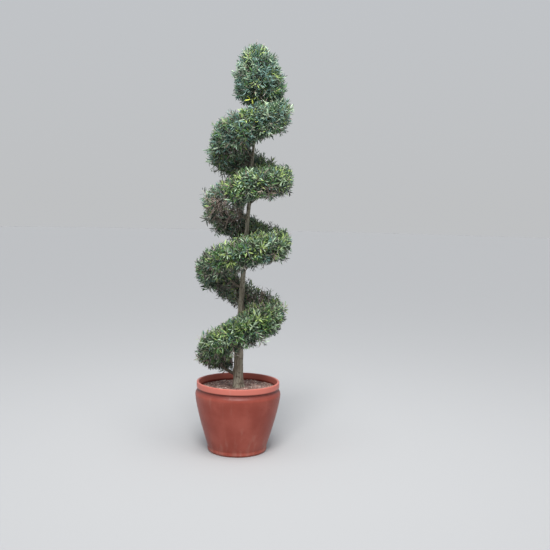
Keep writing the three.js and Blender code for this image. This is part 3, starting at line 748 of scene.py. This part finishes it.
# Places where the foliage has thinned and browned: a middle, a reach and the share of leaves lost there
THIN_PLACES = np.array([
    (-0.160, -0.160, 1.490, 0.120, 0.90),
    (-0.100, -0.060, 1.425, 0.105, 0.84),
    (0.150, -0.240, 1.590, 0.070, 0.72),
    (-0.071, -0.125, 1.796, 0.085, 0.35),
    (0.025, -0.290, 1.215, 0.050, 0.45),
    (-0.204, -0.190, 1.133, 0.075, 0.40),
    (0.120, 0.040, 0.965, 0.105, 0.80),
    (0.090, -0.120, 2.150, 0.060, 0.50),
    (-0.040, -0.240, 0.690, 0.050, 0.40),
    (-0.190, -0.170, 0.660, 0.120, 0.34),
])
THIN_DEPTH = 0.6
LOST_ANYWHERE = 0.05
LOST_UNDERNEATH = 0.42
YELLOW_SPRAYS = [(0.060, -0.106, 2.099), (-0.062, -0.275, 1.149)]
YELLOW_REACH = 0.03

# The egg's slanted underside, where the band ends
EGG_BOTTOM = 2.112
EGG_TILT = 0.050
EGG_TILT_TOWARDS = 0.20

cad_low, cad_high = (np.array(corner) for corner in cad_box)
leaf_finishes = [
    plain(f"leaf_{name}", tone[0], 0.40, Specular_IOR_Level=0.4) for name, tone in LEAF_TONES.items()
]
leaf_finishes += [plain(f"leaf_under_{name}", shade, 0.75) for name, shade in UNDER_COLOURS.items()]
twig_finishes = [plain(f"twig_{k}", shade, 0.8) for k, shade in enumerate(TWIG_COLOURS)]


def signed_power(value, power):
    """Power of a value's size, with the value's own sign."""
    return np.sign(value) * np.abs(value) ** power


def band_skin(turn, around, inset):
    """Points on the band's skin, a superellipse carried up round the trunk, or inside it by an inset on all
    sides but the trunk's, and the way out there."""
    height, half, wide, inner = band_at(turn)
    across = signed_power(np.cos(around), 2 / SECTION_POWER)
    up = signed_power(np.sin(around), 2 / SECTION_POWER)
    wide = np.maximum(wide - inset / 2, 0.004)
    half = np.maximum(half - inset, 0.004)
    points = round_trunk(turn, inner + wide * (1 + across), height + half * up)
    from_end = np.minimum(turn - BAND_TURNS[0], BAND_TURNS[-1] - turn)
    forward = np.stack([-radial(turn)[..., 1], radial(turn)[..., 0], 0 * np.asarray(turn)], -1)
    end_way = np.where(turn < 2, -1.0, 1.0) * np.clip(1 - from_end / 0.05, 0, 1)
    out = radial(turn) * np.cos(around)[..., None] + forward * end_way[..., None]
    out[..., 2] += np.sin(around)
    return points, unit(out)


def egg_bottom(turn):
    """Height of the egg's slanted underside, highest over the end of the band."""
    return EGG_BOTTOM + EGG_TILT * np.cos((turn - EGG_TILT_TOWARDS) * 2 * np.pi)


def about_trunk(points):
    """Offsets of points from the trunk's middle line along X and Y, and their turn round it."""
    offset = points - trunk_middle(points[..., 2])
    x, y = offset[..., 0], offset[..., 1]
    return x, y, np.arctan2(y, x) / (2 * np.pi)


def outside_band(points, centre):
    """How far points are past the band's skin, as a share of its section, on the turn nearest to a mass's."""
    x, y, turn = about_trunk(points)
    turn = turn + np.round(centre - turn)
    height, half, wide, inner = band_at(turn)
    across = np.abs((np.hypot(x, y) - inner - wide) / wide)
    up = np.abs((points[..., 2] - height) / half)
    past = (across**SECTION_POWER + up**SECTION_POWER) ** (1 / SECTION_POWER) - 1
    past = np.maximum(past, np.maximum(BAND_TURNS[0] - turn, turn - BAND_TURNS[-1]) * PAST_END)
    return np.maximum(past, (points[..., 2] - egg_bottom(turn) - MEET) * PAST_END)


def near_trunk(points, clear=0.003):
    """True where points are inside the trunk or nearer than the clearance."""
    x, y, _ = about_trunk(points)
    height = points[..., 2]
    return (height < TRUNK_TIP + clear) & (np.hypot(x, y) < trunk_radius(height) + clear)


def in_room(points):
    """True where points are inside the frame's box, or past it by a little room at most."""
    return ((points > cad_low - ROOM) & (points < cad_high + ROOM)).all(-1)


def golden(count, number):
    """Even spread of places over two shares of one: the first in order, the other by the golden ratio."""
    k = np.arange(count)
    return (k + 0.5) / count, np.mod((k + number) / GOLDEN_RATIO, 1)


def forked(ends, out, parents, shares):
    """Points where new twigs leave their parents, and the parents' headings there: of the points at some
    shares along all parents, the nearest to the twig's end that lies far enough behind it."""
    steps = parents.shape[1]
    picked = np.unique(np.round(np.array(shares) * (steps - 1)).astype(int))
    spots = parents[:, picked].reshape(-1, 3)
    headings = unit(np.gradient(parents, axis=1))[:, picked].reshape(-1, 3)
    reach = ends[:, None] - spots[None]
    behind = (reach * out[:, None]).sum(-1)
    cost = np.linalg.norm(reach, axis=-1) + 2 * np.clip(BEHIND - behind, 0, None)
    best = cost.argmin(1)
    return spots[best], headings[best]


def branch(ends, out, parents, shares, rise, steps):
    """Curved twigs from their parents to their ends. Each sets off partly along its parent and then turns up,
    the less so the more its place faces down."""
    starts, headings = forked(ends, out, parents, shares)
    long = np.linalg.norm(ends - starts, axis=1)
    control = (starts + ends) / 2 + headings * long[:, None] * 0.22
    control[:, 2] -= long * rise * np.clip(out[:, 2] + 0.8, 0, 1)
    return curved(starts, control, ends, steps)


def grow_shoots(count, number, skin, spread, branchlets, rng):
    """Leafy shoots from the branchlets to just under the skin, which swells and sinks a little, with the way
    out at each, and which of them end deep inside or stray out."""
    order, share = golden(count, number + 7)
    deep = rng.uniform(0, 1, count) < DEEP_SHOOTS
    stray = ~deep & (rng.uniform(0, 1, count) < STRAYS)
    inset = SHOOT_INSET + rng.uniform(*SHOOT_UNEVEN, count) + deep * rng.uniform(0.4, 1, count) * DEEP_INSET
    inset -= stray * rng.uniform(*STRAY_REACH, count) + SWELL * grain(order, share, (3, 6), 60 + number)
    ends, out = skin(*spread(order, share), inset)
    ends = ends + rng.normal(0, SHOOT_SCATTER, ends.shape)
    return branch(ends, out, branchlets, (0.25, 0.5, 0.75, 1.0), 0.14, 4), out, deep, stray


def thinness(points):
    """Share of the leaves lost at points: a bell curve round each thin place, and the largest of them counts.
    The places reach deeper into the foliage, along Y, than they are wide."""
    offset = (points[:, None] - THIN_PLACES[None, :, :3]) * [1, THIN_DEPTH, 1]
    away = np.linalg.norm(offset, axis=2) / THIN_PLACES[:, 3]
    return (THIN_PLACES[:, 4] * np.exp(-(away**2))).max(1)


def tone_of(points, out, deep, thin, rng):
    """Tone of each shoot, dealt out by the tones' weights for the place where it grows, which paint sunlight,
    sky reflection and shade into the leaves. Thin places turn dry, most deep shoots take the deep green of
    painted shade, and one shoot at each yellow spray is yellowed."""
    facing_up = out[:, 2] + rng.normal(0, 0.2, len(out))
    risen = (points[:, 2] - CROWN_FOOT) / CROWN_HEIGHT
    place = np.stack([facing_up, points[:, 0] / CROWN_REACH, risen], 1)
    starts = np.array([tone[2] for tone in LEAF_TONES.values()])
    rates = np.array([tone[3] for tone in LEAF_TONES.values()])
    weights = starts * np.exp(place @ rates.T)
    shares = np.cumsum(weights / weights.sum(1, keepdims=True), 1)
    tones = (rng.uniform(0, 0.9999, (len(out), 1)) > shares).sum(1)
    tones = np.where(rng.uniform(0, 1, len(out)) < thin * 1.7 - 0.55, TONES.index("dry"), tones)
    # Painted shade: most deep shoots inside the foliage turn deep green.
    tones[deep & (rng.uniform(0, 1, len(out)) < DEEP_TONED)] = TONES.index("deep")
    for spray in YELLOW_SPRAYS:
        away = np.linalg.norm(points - spray, axis=1)
        tones[(away < YELLOW_REACH) & (away == away.min())] = TONES.index("yellowed")
    return tones


def leaves_on(shoots, tones, lost, rng):
    """Roots, directions, facings, lengths, tones and shoots of the leaves up the ends of shoots. The pairs
    stand a step apart, each turned a quarter round from the last, and lean out less towards the tip. Each
    shoot keeps its own share of its leaves, and a quarter of them take the tone of another shoot."""
    count, steps = shoots.shape[:2]
    long = np.linalg.norm(np.diff(shoots, axis=1), axis=2).sum(1)
    pair = np.arange(LEAF_PAIRS)
    from_tip = FIRST_PAIR + PAIR_STEP * pair[None] * rng.uniform(0.8, 1.25, (count, 1))
    share = 1 - from_tip / long[:, None]
    place = np.clip(share, 0.05, 1) * (steps - 1)
    low = np.minimum(place.astype(int), steps - 2)
    rest = (place - low)[..., None]
    rows = np.arange(count)[:, None]
    roots = shoots[rows, low] * (1 - rest) + shoots[rows, low + 1] * rest
    axis = unit(shoots[rows, low + 1] - shoots[rows, low])
    side, other = square_to(axis, np.abs(axis[..., 2:]) > STEEP)
    bearing = rng.uniform(0, 2 * np.pi, (count, 1)) + pair[None] * np.pi / 2
    slack = rng.normal(0, BEARING_SLACK, (count, LEAF_PAIRS, 2))
    bearing = bearing[..., None] + [0, np.pi] + slack
    lean = np.interp(pair, [0, 1, LEAF_PAIRS - 1], PAIR_LEANS)[None, :, None]
    lean = lean + rng.normal(0, LEAN_SLACK, bearing.shape)
    away = side[:, :, None] * np.cos(bearing)[..., None] + other[:, :, None] * np.sin(bearing)[..., None]
    axis = axis[:, :, None] + 0 * away
    along = axis * np.cos(lean)[..., None] + away * np.sin(lean)[..., None]
    facing = axis + LEAF_SKY + rng.normal(0, FACING_SLACK, along.shape)
    size = np.interp(pair, [0, 1, 2, LEAF_PAIRS - 1], PAIR_SIZES)[None, :, None]
    length = LEAF_LENGTH * size * rng.uniform(0.8, 1.18, bearing.shape)
    kept = (share > 0.04)[..., None] & (rng.uniform(0, 1, bearing.shape) > lost[:, None, None])
    own = tones[:, None, None]
    length = np.where(own == TONES.index("dry"), length * DRY_SIZE, length)
    borrowed = (rng.uniform(0, 1, bearing.shape) < BORROWED_TONES) & (own != TONES.index("yellowed"))
    tone = np.where(borrowed, tones[(rows[:, :, None] + 7) % count], own)
    roots = np.broadcast_to(roots[:, :, None], along.shape)
    owner = np.broadcast_to(rows[:, :, None], bearing.shape)
    return roots[kept], along[kept], facing[kept], length[kept], tone[kept], owner[kept]


def leaf_points(roots, along, facing, length, rng):
    """Leaf meshes from their roots: each bends back along its length by its own amount."""
    broad = LEAF_WIDTH * (length / LEAF_LENGTH) ** 0.5 * rng.uniform(0.85, 1.15, len(length))
    drawn = LEAF_SHAPE * np.stack([length, broad, np.full(len(length), LEAF_RIDGE)], 1)[:, None]
    droop = rng.uniform(*LEAF_DROOP, len(length)) * length
    drawn[..., 2] -= droop[:, None] * LEAF_SHAPE[:, 0] ** 2
    return strewn(drawn, LEAF_FACES, roots, along, facing)


def grow_leaves(shoots, tones, lost, stray, outside, number, rng):
    """Leaves up the shoots, as points, triangles and slots. A leaf that reaches past the ragged edge of the
    mass is cut short, and one that still does, or comes too near the trunk, is left out."""
    roots, along, facing, length, tone, owner = leaves_on(shoots, tones, lost, rng)
    x = unit(along)
    tips = roots + x * length[:, None]
    ragged = grain(tips[:, 0] * 2.1 + tips[:, 1] * 1.3, tips[:, 2] * 2.2, (16, 16), number)
    slack = np.where(stray[owner], STRAY_SLACK, EDGE_SLACK[0] + EDGE_SLACK[1] * ragged)
    length = np.where(outside(tips) > slack, length * CUT_SHORT, length)
    tips = roots + x * length[:, None]
    beside = near_trunk(tips, LEAF_CLEAR_OF_TRUNK) | near_trunk((tips + roots) / 2, LEAF_CLEAR_OF_TRUNK)
    kept = (outside(tips) < slack) & ~beside & in_room(tips)
    points, triangles = leaf_points(roots[kept], along[kept], facing[kept], length[kept], rng)
    tone = tone[kept][:, None]
    upper = np.arange(len(LEAF_FACES)) < len(LEAF_UPPER)
    return points, triangles, np.where(upper, tone, UNDER_TONES[tone]).ravel()


def tapered(lines, girth, sides, rng):
    """Round twigs along lines, tapering from one radius to the other, each a little stouter or finer."""
    taper = np.linspace(*girth, lines.shape[1])
    return rods(lines, taper * rng.uniform(0.85, 1.2, (len(lines), 1)), sides)


def grow_mass(name, number, counts, skin, spread, outside, stems):
    """One mass: limbs, branchlets and shoots, each kind forked from the last, then the leaves up the shoots.
    A shoot that would touch the trunk or leave the frame's box is left out."""
    rng = np.random.default_rng(1000 + number)
    limb_count, branchlet_count, shoot_count = counts
    ends, out = skin(*spread(*golden(limb_count, number)), LIMB_INSET)
    limbs = branch(ends, out, stems, (0.2, 0.4, 0.6, 0.8, 1.0), 0.10, 7)
    ends, out = skin(*spread(*golden(branchlet_count, number + 3)), BRANCHLET_INSET)
    branchlets = branch(ends, out, limbs, (0.35, 0.5, 0.67, 0.84, 1.0), 0.08, 5)
    shoots, out, deep, stray = grow_shoots(shoot_count, number, skin, spread, branchlets, rng)
    thin = thinness(shoots[:, -1])
    tones = tone_of(shoots[:, -1], out, deep, thin, rng)
    lost = LOST_ANYWHERE + thin + LOST_UNDERNEATH * np.clip(-out[:, 2] - 0.2, 0, 0.6)
    clear = ~near_trunk(shoots).any(1) & in_room(shoots).all(1)
    shoots = shoots[clear]
    grown = grow_leaves(shoots, tones[clear], lost[clear], stray[clear], outside, number, rng)
    leaves = make_piece(f"leaves_{name}", *grown[:2], leaf_finishes, grown[2], smooth=False)
    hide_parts(f"foliage_{name}")
    wood = [
        tapered(limbs, LIMB_GIRTH, 5, rng),
        tapered(branchlets, BRANCHLET_GIRTH, 3, rng),
        tapered(shoots, SHOOT_GIRTH, 3, rng),
    ]
    starts = np.cumsum([0, *(len(points) for points, _ in wood[:-1])])
    points = np.concatenate([points for points, _ in wood])
    triangles = np.concatenate([faces + start for (_, faces), start in zip(wood, starts)])
    young = np.arange(len(triangles)) >= len(triangles) - len(wood[-1][1])
    twigs = make_piece(f"twigs_{name}", points, triangles, twig_finishes, young)
    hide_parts(f"foliage_{name}")


def band_spread(order, share, number):
    """Shares to turn and bearing for one stretch of the band: most places on the outer side, few inside."""
    bearing = (2 * share - 1) * BAND_SPREAD
    bearing = bearing - BAND_CROWDING * np.sin(bearing * np.pi / BAND_SPREAD)
    return cuts[number] + (cuts[number + 1] - cuts[number]) * order, bearing


for n, centre in enumerate(bough_turns):
    spread = functools.partial(band_spread, number=n)
    outside = functools.partial(outside_band, centre=centre)
    grow_mass(f"{n + 1:02d}", n, BAND_COUNTS, band_skin, spread, outside, inside_part[n : n + 1])

# Foliage of the top
# The band ends under an egg-shaped head round the trunk's tip, grown in the same way from the trunk itself.
# Its underside is cut on a slant over the end of the band, and its twigs show there.
EGG_COUNTS = (14, 120, 820)
EGG_WIDEST = 2.184
EGG_TOP = 2.46
EGG_REACH = 0.158
EGG_OFFSET = (0.026, -0.009)
EGG_UNDER = 0.16
EGG_DOME = 0.54
EGG_FOOT_LOSS = 0.48
EGG_FOOT_EASE = 2.6
EGG_CROWDING = 1.25


def egg_radius(height):
    """Radius of the egg at a height: it draws in slowly below its widest and closes to its top above it."""
    up = np.clip((height - EGG_WIDEST) / (EGG_TOP - EGG_WIDEST), 0, 1)
    down = np.clip((EGG_WIDEST - height) / (EGG_WIDEST - EGG_BOTTOM + EGG_TILT), 0, 1)
    return EGG_REACH * (1 - up**2) ** EGG_DOME * (1 - EGG_FOOT_LOSS * down**EGG_FOOT_EASE)


def egg_offset(height):
    """How far the egg's middle stands to +X of the trunk's, foot to top."""
    return np.interp(height, [EGG_BOTTOM, EGG_TOP], EGG_OFFSET)


def egg_skin(up, turn, inset):
    """Points on the egg's skin, or inside it by an inset, and the way out there. From 0 to 1 they climb its
    side, and below 0 they draw in over its underside."""
    under = np.sqrt(np.clip(1 + up / EGG_UNDER, 0, 1))
    climbed = np.clip(up, 0, 1)
    low = egg_bottom(turn)
    height = low + inset * 0.6 + (EGG_TOP - low - inset * 1.4) * climbed
    radius = egg_radius(low + (EGG_TOP - low) * climbed) * (1 - inset / EGG_REACH) * under
    points = trunk_middle(height) + radial(turn) * radius[..., None]
    points[..., 0] += egg_offset(height)
    tilt = np.interp(up, [-EGG_UNDER, 0, 0.3, 0.7, 1], [-1.5, -0.7, 0, 0.45, 1.5])
    out = radial(turn) * np.cos(tilt)[..., None]
    out[..., 2] += np.sin(tilt)
    return points, unit(out)


def outside_egg(points):
    """How far points are past the egg's skin, as a share of its size."""
    x, y, turn = about_trunk(points)
    height = points[..., 2]
    past = np.hypot(x - egg_offset(height), y) / np.maximum(egg_radius(height), 0.012) - 1
    past = np.maximum(past, (height - EGG_TOP) * PAST_END)
    return np.maximum(past, (egg_bottom(turn) - MEET - height) * PAST_END)


def egg_spread(order, share):
    """Shares to height and bearing over the egg: fewer places as it closes to its top."""
    return (1 + EGG_UNDER) * (1 - (1 - order) ** (1 / EGG_CROWDING)) - EGG_UNDER, share


leader = trunk_middle(np.linspace(EGG_BOTTOM + 0.03, TRUNK_TIP + 0.016, 9))[None]
grow_mass("top", 16, EGG_COUNTS, egg_skin, egg_spread, outside_egg, leader)

# Floor, light and camera
# A plain pale floor that runs into a pale sky, a wide soft sun high in front and a softbox overhead. The
# camera stands at eye height, five metres off, a little tilted, as the photo was taken.
FLOOR_COLOUR = (0.39, 0.39, 0.39)
HORIZON_COLOUR = (0.52, 0.53, 0.54)
ZENITH_COLOUR = (0.56, 0.60, 0.66)
SKY_BLEND = 0.9
FLOOR_REACH = 40
SUN_PLACE = (-0.2, -2.7, 4.4)
SUN_STRENGTH = 2.9
SUN_SPREAD = math.radians(24)
OVERHEAD_PLACE = (0.2, -0.8, 4.6)
OVERHEAD_WATTS = 115
OVERHEAD_SIZE = 1.6
CAMERA_PLACE = (0.0, -4.98, 1.515)
CAMERA_YAW = math.radians(2.43)
CAMERA_DIP = math.radians(5.0)
CAMERA_ROLL = math.radians(1.22)
FOCAL_PIXELS = 827
PHOTO_PIXELS = 550
SENSOR_WIDTH = 36.0

bpy.ops.mesh.primitive_circle_add(vertices=96, radius=FLOOR_REACH, fill_type="NGON")
floor = bpy.context.object
floor.name = "floor"
floor.data.materials.append(plain("floor_paint", FLOOR_COLOUR, 0.95))

sky = Finish("soft_sky", bpy.data.worlds)
direction = sky.node("ShaderNodeTexCoord", {}, {})["Generated"]
height = sky.node("ShaderNodeSeparateXYZ", {}, {"Vector": direction})["Z"]
climb = sky.node("ShaderNodeMapRange", {}, {"Value": height, "From Max": SKY_BLEND})
glow = sky.node("ShaderNodeBackground", {}, {"Color": sky.mix(climb, HORIZON_COLOUR, ZENITH_COLOUR)})
sky.node("ShaderNodeOutputWorld", {}, {"Surface": glow})
bpy.context.scene.world = sky.owner


def add_light(kind, name, place, target, strength, size):
    """Sun or area light at a place, aimed at a point. A sun's size is an angle, an area's a length."""
    lamp = bpy.data.lights.new(name, kind)
    lamp.energy = strength
    if kind == "SUN":
        lamp.angle = size
    else:
        lamp.size = size
    holder = bpy.data.objects.new(name, lamp)
    aim = (Vector(target) - Vector(place)).to_track_quat("-Z", "Y")
    holder.matrix_world = Matrix.LocRotScale(Vector(place), aim, None)
    bpy.context.scene.collection.objects.link(holder)


add_light("SUN", "sun", SUN_PLACE, (0, 0, 0.9), SUN_STRENGTH, SUN_SPREAD)
add_light("AREA", "overhead", OVERHEAD_PLACE, (0, 0, 1.0), OVERHEAD_WATTS, OVERHEAD_SIZE)

lens = bpy.data.cameras.new("camera")
lens.sensor_width = SENSOR_WIDTH
lens.lens = SENSOR_WIDTH * FOCAL_PIXELS / PHOTO_PIXELS
camera = bpy.data.objects.new("camera", lens)
level = Matrix.Rotation(-CAMERA_YAW, 4, "Z") @ Matrix.Rotation(math.pi / 2 - CAMERA_DIP, 4, "X")
camera.matrix_world = Matrix.Translation(CAMERA_PLACE) @ level @ Matrix.Rotation(CAMERA_ROLL, 4, "Z")
bpy.context.scene.collection.objects.link(camera)
bpy.context.scene.camera = camera
bpy.context.scene.view_settings.view_transform = "Standard"
